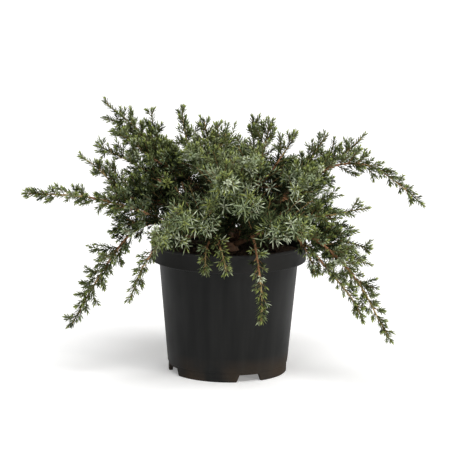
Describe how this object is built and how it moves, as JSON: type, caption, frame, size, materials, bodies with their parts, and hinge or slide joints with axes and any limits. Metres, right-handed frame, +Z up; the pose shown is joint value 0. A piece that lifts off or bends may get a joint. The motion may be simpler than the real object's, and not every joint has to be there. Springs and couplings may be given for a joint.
{
  "type": "potted carpet juniper",
  "caption": "Low spreading evergreen shrub with silvery needle foliage and weeping side shoots, in a round black nursery pot.",
  "frame": {"origin": "on the ground, on the pot's axis, under the middle of the whole plant's box", "axes": "+X to the viewer's right along the widest spread, +Y away from the viewer, +Z up"},
  "size_m": [0.4911, 0.3395, 0.3293],
  "materials": {
    "pot_plastic": "satin black moulded plastic",
    "peat": "moist dark brown peat",
    "bark": "thin red-brown bark",
    "foliage": "blue-green needles with a silver bloom"
  },
  "bodies": {
    "root": {"bough_back": "bark", "bough_back_left": "bark", "bough_back_right": "bark", "bough_front_left": "bark", "bough_front_right": "bark", "bough_front_upper": "bark", "bough_left_front": "bark", "bough_left_low": "bark", "bough_left_top": "bark", "bough_left_upper": "bark", "bough_right_low": "bark", "bough_right_mid": "bark", "bough_right_upper": "bark", "bough_top_left": "bark", "bough_top_right": "bark", "foliage_back_high": "foliage", "foliage_back_left_high": "foliage", "foliage_back_left_low": "foliage", "foliage_back_right_high": "foliage", "foliage_back_right_low": "foliage", "foliage_back_weeping_1": "foliage", "foliage_back_weeping_2": "foliage", "foliage_front_hanging_1": "foliage", "foliage_front_hanging_2": "foliage", "foliage_front_high": "foliage", "foliage_front_left": "foliage", "foliage_front_middle": "foliage", "foliage_front_right": "foliage", "foliage_front_sprigs": "foliage", "foliage_high_back_left": "foliage", "foliage_high_left": "foliage", "foliage_left_long_1": "foliage", "foliage_left_long_2": "foliage", "foliage_left_rim": "foliage", "foliage_left_skirt": "foliage", "foliage_left_weeping_1": "foliage", "foliage_left_weeping_2": "foliage", "foliage_left_weeping_3": "foliage", "foliage_mid_left": "foliage", "foliage_right_far_high": "foliage", "foliage_right_front": "foliage", "foliage_right_high": "foliage", "foliage_right_inner": "foliage", "foliage_right_long_1": "foliage", "foliage_right_long_2": "foliage", "foliage_right_long_3": "foliage", "foliage_right_low": "foliage", "foliage_right_mid": "foliage", "foliage_right_weeping_1": "foliage", "foliage_right_weeping_2": "foliage", "foliage_right_weeping_3": "foliage", "foliage_top_far_right": "foliage", "foliage_top_front": "foliage", "foliage_top_left": "foliage", "foliage_top_middle": "foliage", "foliage_top_right": "foliage", "foliage_upper_left": "foliage", "main_stem": "bark", "peat": "peat", "pot": "pot_plastic"}
  },
  "joints": []
}
